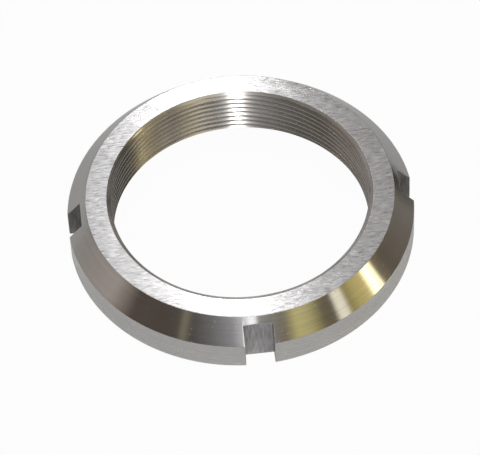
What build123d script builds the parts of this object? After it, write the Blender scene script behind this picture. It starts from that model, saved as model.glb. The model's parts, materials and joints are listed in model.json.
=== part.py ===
from build123d import *
import math
import os

os.makedirs("parts", exist_ok=True)

# Round castle nut: a turned ring with an internal fine thread, a steep bevel round
# its upper edge and spanner slots milled through the rim.
# It stands on its plain lower face, the thread axis is Z, and one slot points along +X.

# Sizes in millimetres and degrees
thread_diameter = 80.0  # nominal, M80
thread_pitch = 2.0
thread_flank_angle = 30.0  # each flank, from square to the axis
ring_wall = 12.5  # from the nominal thread out to the rim
nut_height = 16.5
bevel_width = 5.85  # taken off the upper face, radially
bevel_drop = 7.1  # taken off the rim, along the axis
lead_in_rise = 0.25  # how far each thread mouth opens past the nominal thread
lead_in_angle = 120.0  # included angle of the countersink at each mouth
rim_break = 0.3  # small chamfer round the lower rim
slot_count = 4
slot_width = 8.7
slot_depth = 4.2

# The bore is cut to the crests of the internal thread, 5/8 of the sharp 60 degree
# form inside the nominal diameter on each side
thread_form_height = thread_pitch * math.sqrt(3) / 2
bore_radius = thread_diameter / 2 - thread_form_height * 5 / 8

# The groove's section: a flat root 1/8 of the pitch wide at the nominal diameter, and
# flanks that run on a little past the bore, so that the cut clears the crests
groove_mouth_radius = bore_radius - thread_pitch / 10
groove_root = thread_pitch / 8
groove_mouth = groove_root + 2 * (thread_diameter / 2 - groove_mouth_radius) * math.tan(
    math.radians(thread_flank_angle)
)
groove_start = -thread_pitch / 2  # below the lower face
groove_rise = nut_height + 1.5 * thread_pitch  # to above the upper one

rim_radius = thread_diameter / 2 + ring_wall
face_radius = rim_radius - bevel_width
rim_height = nut_height - bevel_drop

mouth_radius = thread_diameter / 2 + lead_in_rise
lead_in_depth = (mouth_radius - bore_radius) / math.tan(math.radians(lead_in_angle / 2))

slot_floor_radius = rim_radius - slot_depth

with BuildPart() as castle_nut:
    # The ring is turned in one setting: half of its section, spun about Z
    with BuildSketch(Plane.XZ):
        with BuildLine():
            Polyline(
                (bore_radius, lead_in_depth),
                (mouth_radius, 0),
                (rim_radius - rim_break, 0),
                (rim_radius, rim_break),
                (rim_radius, rim_height),
                (face_radius, nut_height),
                (mouth_radius, nut_height),
                (bore_radius, nut_height - lead_in_depth),
                close=True,
            )
        make_face()
    revolve(axis=Axis.Z)

    # Spanner slots with a flat floor and parallel walls, open to both faces. Each
    # cutter stands on its slot's floor and reaches out past the rim.
    with BuildSketch(Plane.XY):
        with PolarLocations(slot_floor_radius + slot_depth, slot_count):
            Rectangle(2 * slot_depth, slot_width)
    extrude(amount=nut_height, mode=Mode.SUBTRACT)

    # Right-hand internal thread: one groove swept up a helix through the whole bore,
    # which leaves the crests on the bore and runs out in both countersinks
    with BuildLine():
        groove_path = Helix(thread_pitch, groove_rise, bore_radius, center=(0, 0, groove_start))
    with BuildSketch(Plane.XZ):
        with Locations((0, groove_start)):
            Polygon(
                (groove_mouth_radius, -groove_mouth / 2),
                (thread_diameter / 2, -groove_root / 2),
                (thread_diameter / 2, groove_root / 2),
                (groove_mouth_radius, groove_mouth / 2),
                align=None,
            )
    sweep(path=groove_path, is_frenet=True, mode=Mode.SUBTRACT)

castle_nut.part.label = "castle_nut"
export_step(castle_nut.part, "parts/castle_nut.step")
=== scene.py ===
import json
import math

import bpy
from mathutils import Matrix, Vector


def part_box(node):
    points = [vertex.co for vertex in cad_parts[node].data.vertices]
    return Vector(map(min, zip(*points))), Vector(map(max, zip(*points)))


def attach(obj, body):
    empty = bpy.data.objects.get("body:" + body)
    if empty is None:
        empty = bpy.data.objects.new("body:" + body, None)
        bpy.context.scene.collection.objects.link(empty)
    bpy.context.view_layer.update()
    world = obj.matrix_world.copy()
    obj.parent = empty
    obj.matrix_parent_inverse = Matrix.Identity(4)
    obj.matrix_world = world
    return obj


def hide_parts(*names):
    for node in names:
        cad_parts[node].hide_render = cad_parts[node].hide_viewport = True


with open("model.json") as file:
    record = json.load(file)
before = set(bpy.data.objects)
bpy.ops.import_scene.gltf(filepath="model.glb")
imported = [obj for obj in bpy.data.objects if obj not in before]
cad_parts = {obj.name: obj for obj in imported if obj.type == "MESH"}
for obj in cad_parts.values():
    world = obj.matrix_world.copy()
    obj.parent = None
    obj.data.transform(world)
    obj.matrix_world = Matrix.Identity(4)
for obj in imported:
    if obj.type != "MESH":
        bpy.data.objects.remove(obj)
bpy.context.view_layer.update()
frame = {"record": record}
mm = 0.001

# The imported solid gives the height, the rim and the bore
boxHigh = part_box("castle_nut")[1]
threadMount = [m for m in frame["record"]["mounts"] if m["name"] == "thread"][0]


cameraView = {
    "azimuth": -3.9,      # degrees, 0 looks along +Y
    "elevation": 51.5,
    "roll": 3.08,
    "distance": 1.037,    # metres from the middle of the lower face
    "lens": 255.1,        # mm
    "sensor": 36,
    "clip": (0.01, 50),   # metres, nearest and furthest
    "sideways": -0.0005,  # metres, along the picture
    "upward": -0.0002,
}


def directionOf(azimuth, elevation):
    a = math.radians(azimuth)
    e = math.radians(elevation)
    return Vector((math.sin(a) * math.cos(e), -math.cos(a) * math.cos(e), math.sin(e)))


def makeCamera(view):
    a = math.radians(view["azimuth"])
    roll = math.radians(view["roll"])
    back = directionOf(view["azimuth"], view["elevation"])
    right = Vector((math.cos(a), math.sin(a), 0))
    up = back.cross(right)
    place = back * view["distance"] + right * view["sideways"] + up * view["upward"]
    across = right * math.cos(roll) - up * math.sin(roll)
    along = right * math.sin(roll) + up * math.cos(roll)
    data = bpy.data.cameras.new("camera")
    data.sensor_width = view["sensor"]
    data.lens = view["lens"]
    data.clip_start, data.clip_end = view["clip"]
    camera = bpy.data.objects.new("camera", data)
    bpy.context.scene.collection.objects.link(camera)
    turn = Matrix((across, along, back)).transposed()
    camera.matrix_world = Matrix.Translation(place) @ turn.to_4x4()
    bpy.context.scene.camera = camera


makeCamera(cameraView)
bpy.context.scene.view_settings.view_transform = "Standard"
print("camera placed")


nutShape = {
    "threadDiameter": 80.0,   # mm, nominal
    "threadPitch": 2.0,
    "threadPhase": 0.0,       # mm along the axis
    "mouthRise": 0.25,        # the countersinks open this far past the thread
    "mouthAngle": 120.0,
    "bevelWidth": 5.85,
    "bevelDrop": 7.1,
    "rimBreak": 0.3,
    "slotWidth": 8.7,
    "slotDepth": 4.2,
    "slotCells": 16,          # mesh columns across a slot
    "landCells": 104,         # and from one slot to the next
    "mouthBand": 0.12,        # mm of clean countersink before the thread begins
    "cornerWear": 0.05,       # mm off the thread's corners
    "edgeRound": 0.16,        # mm, the widest of the small edge breaks
    "edgeShares": {           # and each edge's share of it
        "face": 0.7, "rim": 0.5, "floorTop": 0.8, "floorLow": 0.5, "wall": 1.0, "mouth": 0.3,
    },
    "creaseAngle": 35,        # degrees, sharper corners stay crisp
}


def nutSizes(shape):
    # Everything in mm, worked out from the solid and the sizes above
    s = dict(shape)
    s["height"] = boxHigh.z / mm
    s["rim"] = math.hypot(boxHigh.x / mm, s["slotWidth"] / 2)
    s["face"] = s["rim"] - s["bevelWidth"]
    s["rimHeight"] = s["height"] - s["bevelDrop"]
    s["floor"] = s["rim"] - s["slotDepth"]
    s["corner"] = math.hypot(s["floor"], s["slotWidth"] / 2)
    s["bore"] = threadMount["dims"]["r_mm"]
    s["major"] = s["threadDiameter"] / 2
    s["mouth"] = s["major"] + s["mouthRise"]
    s["mouthSlope"] = math.tan(math.radians(s["mouthAngle"] / 2))
    s["cells"] = s["slotCells"] + s["landCells"]
    s["columns"] = 4 * s["cells"]
    return s


nut = nutSizes(nutShape)


def bevelHeight(r):
    return nut["rimHeight"] + (nut["rim"] - r) * nut["bevelDrop"] / nut["bevelWidth"]


def slotOffset(cell):
    # Distance of a slot's mesh column from the slot's middle plane
    return nut["slotWidth"] * (cell / nut["slotCells"] - 0.5)


def columnAngle(column, r):
    # Slot columns run parallel to the slot's walls, the others fan out between slots
    quarter, cell = divmod(column, nut["cells"])
    if cell <= nut["slotCells"]:
        turn = math.asin(slotOffset(cell) / r)
    else:
        wall = math.asin(nut["slotWidth"] / 2 / r)
        share = (cell - nut["slotCells"]) / nut["landCells"]
        turn = wall + (math.pi / 2 - 2 * wall) * share
    return quarter * math.pi / 2 + turn


def threadSection():
    # One pitch of a 60 degree internal thread from the middle of a crest, as
    # (mm along the axis, mm deeper than the crest), with its corners a little worn
    p = nut["threadPitch"]
    deep = nut["major"] - nut["bore"]
    slope = math.sqrt(3)
    crestEnd = p / 8
    rootStart = p / 2 - p / 16
    worn = nut["cornerWear"]
    falling = [
        (crestEnd - worn, 0),
        (crestEnd + 0.1 * worn, 0.56 * worn),
        (crestEnd + worn, worn * slope),
        (crestEnd + 5 * worn, 5 * worn * slope),
        (crestEnd + 9 * worn, 9 * worn * slope),
        (rootStart - 0.8 * worn, deep - 0.8 * worn * slope),
        (rootStart + 0.6 * worn, deep - 0.32 * worn),
    ]
    rising = [(p - along, depth) for along, depth in reversed(falling)]
    return falling + [(p / 2, deep)] + rising


class NutMesh:
    def __init__(self):
        self.places = []
        self.faces = []
        self.zones = []
        self.weights = {}

    def add(self, column, r, z):
        a = columnAngle(column, r)
        self.places.append((r * math.cos(a) * mm, r * math.sin(a) * mm, z * mm))
        return len(self.places) - 1

    def ring(self, r, z, landOnly=False):
        found = []
        for c in range(nut["columns"]):
            inSlot = 0 < c % nut["cells"] < nut["slotCells"]
            found.append(None if landOnly and inSlot else self.add(c, r, z))
        return found

    def slotRing(self, onBevel):
        # It follows the slots' flat floors, and the same radius between them
        found = []
        for c in range(nut["columns"]):
            cell = c % nut["cells"]
            r = nut["corner"]
            if cell <= nut["slotCells"]:
                r = math.hypot(nut["floor"], slotOffset(cell))
            found.append(self.add(c, r, bevelHeight(r) if onBevel else 0))
        return found

    def face(self, loop, zone):
        clean = [v for i, v in enumerate(loop) if v != loop[i - 1]]
        if len(clean) > 2:
            self.faces.append(clean)
            self.zones.append(zone)

    def strip(self, low, high, zone, part="all"):
        for c in range(nut["columns"]):
            inSlot = c % nut["cells"] < nut["slotCells"]
            if part == "all" or inSlot == (part == "slots"):
                n = (c + 1) % nut["columns"]
                self.face([low[c], low[n], high[n], high[c]], zone)

    def soften(self, ends, weight):
        for a, b in ends:
            self.weights[min(a, b), max(a, b)] = weight

    def ringEdges(self, ring, part="all"):
        for c in range(nut["columns"]):
            inSlot = c % nut["cells"] < nut["slotCells"]
            if part == "all" or inSlot == (part == "slots"):
                yield ring[c], ring[(c + 1) % nut["columns"]]


def buildNut():
    m = NutMesh()
    height = nut["height"]
    shares = nut["edgeShares"]

    # From the upper mouth over the face, the bevel and the rim to the lower mouth
    mouthTop = m.ring(nut["mouth"], height)
    faceEdge = m.ring(nut["face"], height)
    floorTop = m.slotRing(True)
    rimTop = m.ring(nut["rim"], nut["rimHeight"], landOnly=True)
    rimLow = m.ring(nut["rim"], nut["rimBreak"], landOnly=True)
    baseEdge = m.ring(nut["rim"] - nut["rimBreak"], 0, landOnly=True)
    floorLow = m.slotRing(False)
    mouthLow = m.ring(nut["mouth"], 0)
    m.strip(faceEdge, mouthTop, "face")
    m.strip(floorTop, faceEdge, "bevel")
    m.strip(rimTop, floorTop, "bevel", "land")
    m.strip(rimLow, rimTop, "rim", "land")
    m.strip(baseEdge, rimLow, "rim", "land")
    m.strip(floorLow, baseEdge, "base", "land")
    m.strip(mouthLow, floorLow, "base")
    m.strip(floorLow, floorTop, "slot", "slots")
    m.soften(m.ringEdges(faceEdge), shares["face"])
    m.soften(m.ringEdges(rimTop, "land"), shares["rim"])
    m.soften(m.ringEdges(floorTop, "slots"), shares["floorTop"])
    m.soften(m.ringEdges(floorLow, "slots"), shares["floorLow"])
    for c in range(nut["columns"]):
        if c % nut["cells"] in (0, nut["slotCells"]):
            loop = [floorLow[c], baseEdge[c], rimLow[c], rimTop[c], floorTop[c]]
            m.face(loop if c % nut["cells"] else loop[::-1], "wall")
            m.soften(zip(loop[:-1], loop[1:]), shares["wall"])

    # Each countersink starts as a clean narrow band, and the thread runs out below it
    band = nut["mouthBand"]
    bandRadius = nut["mouth"] - band * nut["mouthSlope"]
    coneTop = m.ring(bandRadius, height - band)
    coneLow = m.ring(bandRadius, band)
    m.strip(mouthTop, coneTop, "mouth")
    m.strip(coneLow, mouthLow, "mouth")
    m.soften(m.ringEdges(mouthTop), shares["mouth"])
    buildThread(m, coneTop, coneLow)
    return m


def buildThread(m, coneTop, coneLow):
    # Rows follow the helix, so the last column meets the first one a turn further up
    band = nut["mouthBand"]
    section = threadSection()
    p = nut["threadPitch"]
    closest = 0.02
    rows = []
    turns = math.ceil(nut["height"] / p) + 3
    for row in range(turns * len(section)):
        turn, step = divmod(row, len(section))
        along, depth = section[step]
        line = []
        for c in range(nut["columns"]):
            a = columnAngle(c, nut["mouth"])
            z = nut["threadPhase"] + p * (turn - 2 + a / math.tau) + along
            if z > nut["height"] - band - closest:
                line.append(coneTop[c])
            elif z < band + closest:
                line.append(coneLow[c])
            else:
                cone = nut["mouth"] - min(z, nut["height"] - z) * nut["mouthSlope"]
                line.append(m.add(c, max(nut["bore"] + depth, cone), z))
        rows.append(line)
    last = nut["columns"] - 1
    for row in range(len(rows) - 1):
        for c in range(last):
            left, right = c, c + 1
            m.face([rows[row][left], rows[row + 1][left],
                    rows[row + 1][right], rows[row][right]], "thread")
        if row + 1 + len(section) < len(rows):
            low = rows[row + len(section)][0]
            high = rows[row + 1 + len(section)][0]
            m.face([rows[row][last], rows[row + 1][last], high, low], "thread")


zoneNames = ["face", "bevel", "rim", "base", "slot", "wall", "mouth", "thread", "edge"]


def makeNutObject():
    m = buildNut()
    mesh = bpy.data.meshes.new("nut_body")
    mesh.from_pydata(m.places, [], m.faces)
    mesh.update()
    mesh.polygons.foreach_set("material_index", [zoneNames.index(z) for z in m.zones])
    mesh.shade_smooth()

    # Which way the marks of each flat zone run: U lies across them
    grain = mesh.uv_layers.new(name="grain")
    reach = nut["floor"] * mm
    for polygon, zone in zip(mesh.polygons, m.zones):
        if zone in ("slot", "wall"):
            out = Vector((round(polygon.center.x / reach), round(polygon.center.y / reach), 0))
        for loop in polygon.loop_indices:
            x, y, z = m.places[mesh.loops[loop].vertex_index]
            if zone == "slot":
                grain.uv[loop].vector = (out.x * y - out.y * x, z)
            elif zone == "wall":
                grain.uv[loop].vector = (out.x * x + out.y * y, z)
            else:
                grain.uv[loop].vector = (y, x)

    # Small edge breaks where the weights say, sharp creases elsewhere
    creaseAngle = math.radians(nut["creaseAngle"])
    weights = mesh.attributes.new("bevel_weight_edge", "FLOAT", "EDGE")
    normals = [p.normal.copy() for p in mesh.polygons]
    sides = {}
    for p in mesh.polygons:
        for key in p.edge_keys:
            sides.setdefault(key, []).append(p.index)
    for edge in mesh.edges:
        key = tuple(sorted(edge.vertices))
        weights.data[edge.index].value = m.weights.get(key, 0)
        a, b = sides[key]
        bend = normals[a].angle(normals[b], 0)
        edge.use_edge_sharp = key not in m.weights and bend > creaseAngle
    body = bpy.data.objects.new("nut_body", mesh)
    bpy.context.scene.collection.objects.link(body)
    rounding = body.modifiers.new("edge breaks", "BEVEL")
    rounding.limit_method = "WEIGHT"
    rounding.width = nut["edgeRound"] * mm
    rounding.segments = 2
    rounding.use_clamp_overlap = False
    shading = body.modifiers.new("flat faces", "WEIGHTED_NORMAL")
    shading.keep_sharp = True
    return body


body = makeNutObject()
print("nut shaped:", len(body.data.vertices), "vertices,", len(body.data.polygons), "faces")


def addNode(tree, kind, links=None, values=None, **settings):
    node = tree.nodes.new("ShaderNode" + kind)
    for name, value in settings.items():
        setattr(node, name, value)
    for name, value in (values or {}).items():
        node.inputs[name].default_value = value
    for name, source in (links or {}).items():
        tree.links.new(source, node.inputs[name])
    return node


def calc(tree, operation, *terms):
    node = addNode(tree, "Math", operation=operation)
    for slot, term in zip(node.inputs, terms):
        if isinstance(term, (int, float)):
            slot.default_value = term
        else:
            tree.links.new(term, slot)
    return node.outputs[0]


# along and across: how often the marks change per metre, along a tool mark and across it
# depth and nicks: mm; cloud: how much broad patches count; glance: brightness at a low angle
steelLook = {
    "face": {
        "cut": "ground", "along": 340, "across": 2000, "depth": 0.045,
        "colour": (0.66, 0.655, 0.66), "shade": (0.34, 0.335, 0.34),
        "roughness": 0.30, "uneven": 0.09, "anisotropy": 1.0,
        "cloud": 0.10, "glance": 1.0, "nicks": 0.0,
    },
    "bevel": {
        "cut": "turned", "along": 16, "across": 2200, "depth": 0.0015,
        "colour": (0.49, 0.48, 0.465), "shade": (0.43, 0.42, 0.405),
        "roughness": 0.13, "uneven": 0.02, "anisotropy": 0.9,
        "cloud": 0.5, "glance": 0.80, "nicks": 0.02,
    },
    "rim": {
        "cut": "turned", "along": 20, "across": 2600, "depth": 0.002,
        "colour": (0.60, 0.592, 0.58), "shade": (0.53, 0.522, 0.51),
        "roughness": 0.27, "uneven": 0.05, "anisotropy": 0.8,
        "cloud": 0.5, "glance": 1.0, "nicks": 0.02,
    },
    "base": {
        "cut": "turned", "along": 16, "across": 2000, "depth": 0.004,
        "colour": (0.50, 0.49, 0.48), "shade": (0.44, 0.43, 0.42),
        "roughness": 0.30, "uneven": 0.05, "anisotropy": 0.9,
        "cloud": 0.5, "glance": 1.0, "nicks": 0.02,
    },
    "slot": {
        "cut": "milled", "along": 160, "across": 1500, "depth": 0.05,
        "colour": (0.64, 0.625, 0.63), "shade": (0.33, 0.32, 0.325),
        "roughness": 0.46, "uneven": 0.10, "anisotropy": 0.6,
        "cloud": 0.5, "glance": 1.0, "nicks": 0.02,
    },
    "wall": {
        "cut": "milled", "along": 160, "across": 1500, "depth": 0.03,
        "colour": (0.34, 0.335, 0.33), "shade": (0.17, 0.165, 0.16),
        "roughness": 0.46, "uneven": 0.10, "anisotropy": 0.5,
        "cloud": 0.5, "glance": 1.0, "nicks": 0.02,
    },
    "mouth": {
        "cut": "turned", "along": 22, "across": 2600, "depth": 0.006,
        "colour": (0.44, 0.43, 0.415), "shade": (0.36, 0.35, 0.335),
        "roughness": 0.26, "uneven": 0.05, "anisotropy": 0.95,
        "cloud": 0.5, "glance": 1.0, "nicks": 0.03,
    },
    "thread": {
        "cut": "turned", "along": 28, "across": 3600, "depth": 0.012,
        "colour": (0.48, 0.455, 0.435), "shade": (0.34, 0.32, 0.30),
        "roughness": 0.26, "uneven": 0.06, "anisotropy": 0.95,
        "cloud": 0.5, "glance": 1.0, "nicks": 0.03,
    },
    "edge": {
        "cut": "ground", "along": 1500, "across": 1500, "depth": 0.03,
        "colour": (0.62, 0.61, 0.60), "shade": (0.26, 0.255, 0.25),
        "roughness": 0.38, "uneven": 0.14, "anisotropy": 0.0,
        "cloud": 0.5, "glance": 1.0, "nicks": 0.0,
    },
}


markLook = {
    "sway": 0.0028,        # metres that the wheel's lines wander
    "swayScale": 160,
    "fineDetail": 3, "fineRoughness": 0.65,
    "cloudScale": 110, "cloudDetail": 3, "cloudRoughness": 0.55,
    "speckScale": 1400, "speckRange": (0.74, 0.80),
    "tintRange": (0.3, 0.7),
}


def markPlace(tree, look):
    # Texture space in which one unit is one mark
    where = addNode(tree, "TexCoord").outputs["Object"]
    if look["cut"] == "milled":
        where = addNode(tree, "UVMap", uv_map="grain").outputs["UV"]
    split = addNode(tree, "SeparateXYZ", {0: where})
    x, y, z = split.outputs
    if look["cut"] == "turned":
        squares = calc(tree, "ADD", calc(tree, "POWER", x, 2), calc(tree, "POWER", y, 2))
        ring = calc(tree, "SUBTRACT", calc(tree, "SQRT", squares), z)
        steps = ((x, look["along"]), (y, look["along"]), (ring, look["across"]))
    elif look["cut"] == "ground":
        # The wheel's lines wander a little
        sway = addNode(tree, "TexNoise", {"Vector": where},
                       {"Scale": markLook["swayScale"], "Detail": 1})
        y = calc(tree, "MULTIPLY_ADD", sway.outputs["Fac"], markLook["sway"], y)
        steps = ((x, look["along"]), (y, look["across"]))
    else:
        steps = ((x, look["across"]), (y, look["along"]))
    place = addNode(tree, "CombineXYZ")
    for (part, often), slot in zip(steps, place.inputs):
        tree.links.new(calc(tree, "MULTIPLY", part, often), slot)
    return place.outputs[0]


def makeSteel(zone, look):
    material = bpy.data.materials.new("steel_" + zone)
    material.use_nodes = True
    tree = material.node_tree
    tree.nodes.clear()
    fine = addNode(tree, "TexNoise", {"Vector": markPlace(tree, look)},
                   {"Scale": 1, "Detail": markLook["fineDetail"],
                    "Roughness": markLook["fineRoughness"]}).outputs["Fac"]
    where = addNode(tree, "TexCoord").outputs["Object"]
    broad = addNode(tree, "TexNoise", {"Vector": where},
                    {"Scale": markLook["cloudScale"], "Detail": markLook["cloudDetail"],
                     "Roughness": markLook["cloudRoughness"]}).outputs["Fac"]
    wear = calc(tree, "MULTIPLY_ADD", broad, look["cloud"], fine)
    level = calc(tree, "SUBTRACT", wear, look["cloud"] / 2)
    low, high = markLook["tintRange"]
    share = addNode(tree, "MapRange", {"Value": level}, {"From Min": low, "From Max": high})
    tint = addNode(tree, "Mix", {"Factor": share.outputs[0]}, data_type="RGBA")
    tint.inputs[6].default_value = (*look["shade"], 1)
    tint.inputs[7].default_value = (*look["colour"], 1)
    smoothest = look["roughness"] - look["uneven"]
    uneven = calc(tree, "MULTIPLY_ADD", level, 2 * look["uneven"], smoothest)
    specks = addNode(tree, "TexNoise", {"Vector": where},
                     {"Scale": markLook["speckScale"], "Detail": 1}).outputs["Fac"]
    low, high = markLook["speckRange"]
    dents = addNode(tree, "MapRange", {"Value": specks}, {"From Min": low, "From Max": high})
    sunk = -look["nicks"] / look["depth"]
    pits = calc(tree, "MULTIPLY_ADD", dents.outputs[0], sunk, fine)
    bump = addNode(tree, "Bump", {"Height": pits}, {"Strength": 1, "Distance": look["depth"] * mm})
    shader = addNode(tree, "BsdfPrincipled",
                     {"Base Color": tint.outputs[2], "Roughness": uneven, "Normal": bump.outputs[0]},
                     {"Metallic": 1, "Anisotropic": look["anisotropy"],
                      "Specular Tint": (look["glance"], look["glance"], look["glance"], 1)})
    if look["cut"] == "turned":
        tangent = addNode(tree, "Tangent", direction_type="RADIAL", axis="Z")
        shader.inputs["Anisotropic Rotation"].default_value = 0.25
    else:
        tangent = addNode(tree, "Tangent", direction_type="UV_MAP", uv_map="grain")
    tree.links.new(tangent.outputs[0], shader.inputs["Tangent"])
    addNode(tree, "OutputMaterial", {"Surface": shader.outputs[0]})
    return material


for zone in zoneNames:
    body.data.materials.append(makeSteel(zone, steelLook[zone]))
body.modifiers["edge breaks"].material = zoneNames.index("edge")
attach(body, "root")
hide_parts("castle_nut")
print("finishes made")


sheetLook = {
    "drop": 0.00002,       # metres under the nut
    "left": -0.30, "right": 0.085, "front": -0.30, "back": 0.30,  # metres
    "colour": (0.86, 0.86, 0.86),
    "whiteness": 0.95,     # how much of its white is the background's own
    "whiteInSteel": 0.10,  # the same in reflections
}
roomLook = {
    # degrees round from the front towards +X, and what stands there at eye level
    "walls": [
        (-180, (0.62, 0.62, 0.62)),
        (-145, (0.28, 0.27, 0.26)),
        (-120, (0.45, 0.42, 0.40)),
        (-86, (0.62, 0.55, 0.51)),
        (-77, (0.36, 0.31, 0.27)),
        (-71, (0.15, 0.12, 0.10)),
        (-44, (0.13, 0.11, 0.09)),
        (-41, (0.36, 0.33, 0.22)),
        (-36, (0.10, 0.085, 0.07)),
        (-12, (0.30, 0.30, 0.33)),
        (-6, (0.75, 0.76, 0.82)),
        (-2, (2.20, 2.25, 2.35)),
        (1, (2.20, 2.20, 2.25)),
        (3, (0.30, 0.28, 0.26)),
        (18, (0.26, 0.21, 0.14)),
        (25, (0.85, 0.74, 0.26)),
        (34, (0.62, 0.54, 0.20)),
        (41, (0.24, 0.20, 0.12)),
        (48, (0.20, 0.17, 0.12)),
        (50, (1.60, 1.52, 1.25)),
        (55, (1.55, 1.45, 1.15)),
        (57, (0.45, 0.36, 0.14)),
        (63, (0.85, 0.72, 0.28)),
        (71, (1.05, 0.85, 0.36)),
        (73, (4.20, 3.90, 2.40)),
        (78, (3.60, 3.30, 2.00)),
        (80, (0.36, 0.29, 0.20)),
        (88, (0.21, 0.175, 0.135)),
        (118, (0.31, 0.285, 0.25)),
        (130, (0.05, 0.045, 0.04)),
        (142, (0.30, 0.29, 0.27)),
        (180, (0.62, 0.62, 0.62)),
    ],
    # and the same above it
    "upperWalls": [
        (-180, (0.56, 0.55, 0.55)),
        (-150, (0.34, 0.33, 0.32)),
        (-117, (0.38, 0.33, 0.29)),
        (-96, (0.26, 0.24, 0.21)),
        (-82, (0.20, 0.18, 0.16)),
        (-66, (0.24, 0.23, 0.20)),
        (-46, (0.38, 0.37, 0.36)),
        (-25, (0.70, 0.70, 0.70)),
        (-10, (1.30, 1.30, 1.35)),
        (5, (1.10, 1.10, 1.15)),
        (22, (0.75, 0.72, 0.64)),
        (32, (2.10, 2.00, 1.70)),
        (42, (1.25, 1.14, 0.66)),
        (50, (0.56, 0.53, 0.44)),
        (72, (0.50, 0.47, 0.40)),
        (79, (1.00, 0.86, 0.44)),
        (87, (0.72, 0.58, 0.28)),
        (95, (0.15, 0.13, 0.105)),
        (115, (0.06, 0.055, 0.045)),
        (130, (0.05, 0.045, 0.04)),
        (150, (0.28, 0.27, 0.26)),
        (180, (0.56, 0.55, 0.55)),
    ],
    "wallTop": (0.44, 0.54),  # where one gives way to the other, as a share of straight up
    "fill": 0.30,             # how brightly the sheet is lit from all round
}
stripLook = {
    "height": 0.32,        # metres over the nut
    "right": 0.006,
    "back": 0.255,
    "width": 0.02,
    "length": 0.16,
    "turn": 3.9,           # degrees
    "power": 0.24,         # watts
}
flashLook = {
    "azimuth": -4.0,
    "elevation": 58.0,
    "distance": 1.05,
    "size": 0.05,
    "power": 3.6,
}


def makeSheet(look):
    left, right, front, back = (look[side] for side in ("left", "right", "front", "back"))
    ends = ((left, front), (right, front), (right, back), (left, back))
    corners = [(x, y, -look["drop"]) for x, y in ends]
    mesh = bpy.data.meshes.new("sheet")
    mesh.from_pydata(corners, [], [(0, 1, 2, 3)])
    sheet = bpy.data.objects.new("sheet", mesh)
    bpy.context.scene.collection.objects.link(sheet)
    material = bpy.data.materials.new("paper")
    material.use_nodes = True
    tree = material.node_tree
    tree.nodes.clear()
    paper = addNode(tree, "BsdfDiffuse", {}, {"Color": (*look["colour"], 1)})
    white = addNode(tree, "Emission", {}, {"Strength": 1})
    rays = addNode(tree, "LightPath")
    seen = calc(tree, "MULTIPLY", rays.outputs["Is Camera Ray"], look["whiteness"])
    share = calc(tree, "MULTIPLY_ADD", rays.outputs["Is Glossy Ray"], look["whiteInSteel"], seen)
    mix = addNode(tree, "MixShader", {0: share, 1: paper.outputs[0], 2: white.outputs[0]})
    addNode(tree, "OutputMaterial", {"Surface": mix.outputs[0]})
    sheet.data.materials.append(material)


def bandRamp(tree, share, bands):
    ramp = addNode(tree, "ValToRGB", {"Fac": share})
    stops = ramp.color_ramp.elements
    for i, (degrees, colour) in enumerate(bands):
        at = (degrees + 180) / 360
        stop = stops[i] if i < 2 else stops.new(at)
        stop.position = at
        stop.color = (*colour, 1)
    return ramp.outputs["Color"]


def makeRoom(look):
    world = bpy.data.worlds.new("room")
    bpy.context.scene.world = world
    world.use_nodes = True
    tree = world.node_tree
    tree.nodes.clear()
    where = addNode(tree, "TexCoord").outputs["Generated"]
    x, y, z = addNode(tree, "SeparateXYZ", {0: where}).outputs
    turn = calc(tree, "ARCTAN2", x, calc(tree, "MULTIPLY", y, -1))
    share = calc(tree, "MULTIPLY_ADD", turn, 1 / math.tau, 0.5)
    low, high = look["wallTop"]
    rise = addNode(tree, "MapRange", {"Value": z}, {"From Min": low, "From Max": high})
    walls = addNode(tree, "Mix", {"Factor": rise.outputs[0]}, data_type="RGBA")
    tree.links.new(bandRamp(tree, share, look["walls"]), walls.inputs[6])
    tree.links.new(bandRamp(tree, share, look["upperWalls"]), walls.inputs[7])
    room = addNode(tree, "Background", {"Color": walls.outputs[2]})
    soft = addNode(tree, "Background", {}, {"Color": (1, 1, 1, 1), "Strength": look["fill"]})
    white = addNode(tree, "Background", {}, {"Color": (1, 1, 1, 1), "Strength": 1})
    rays = addNode(tree, "LightPath")
    isGlossy, isCamera = rays.outputs["Is Glossy Ray"], rays.outputs["Is Camera Ray"]
    glossy = addNode(tree, "MixShader", {0: isGlossy, 1: soft.outputs[0], 2: room.outputs[0]})
    seen = addNode(tree, "MixShader", {0: isCamera, 1: glossy.outputs[0], 2: white.outputs[0]})
    addNode(tree, "OutputWorld", {"Surface": seen.outputs[0]})


def makeStrip(look):
    data = bpy.data.lights.new("strip_lamp", "AREA")
    data.shape = "RECTANGLE"
    data.size = look["width"]
    data.size_y = look["length"]
    data.energy = look["power"]
    lamp = bpy.data.objects.new("strip_lamp", data)
    bpy.context.scene.collection.objects.link(lamp)
    lamp.location = (look["right"], look["back"], look["height"])
    lamp.rotation_euler.z = math.radians(look["turn"])


def makeFlash(look):
    data = bpy.data.lights.new("flash_lamp", "AREA")
    data.shape = "DISK"
    data.size = look["size"]
    data.energy = look["power"]
    lamp = bpy.data.objects.new("flash_lamp", data)
    bpy.context.scene.collection.objects.link(lamp)
    way = directionOf(look["azimuth"], look["elevation"])
    lamp.location = way * look["distance"]
    lamp.rotation_euler = way.to_track_quat("Z", "Y").to_euler()


makeSheet(sheetLook)
makeRoom(roomLook)
makeStrip(stripLook)
makeFlash(flashLook)
print("stage lit")
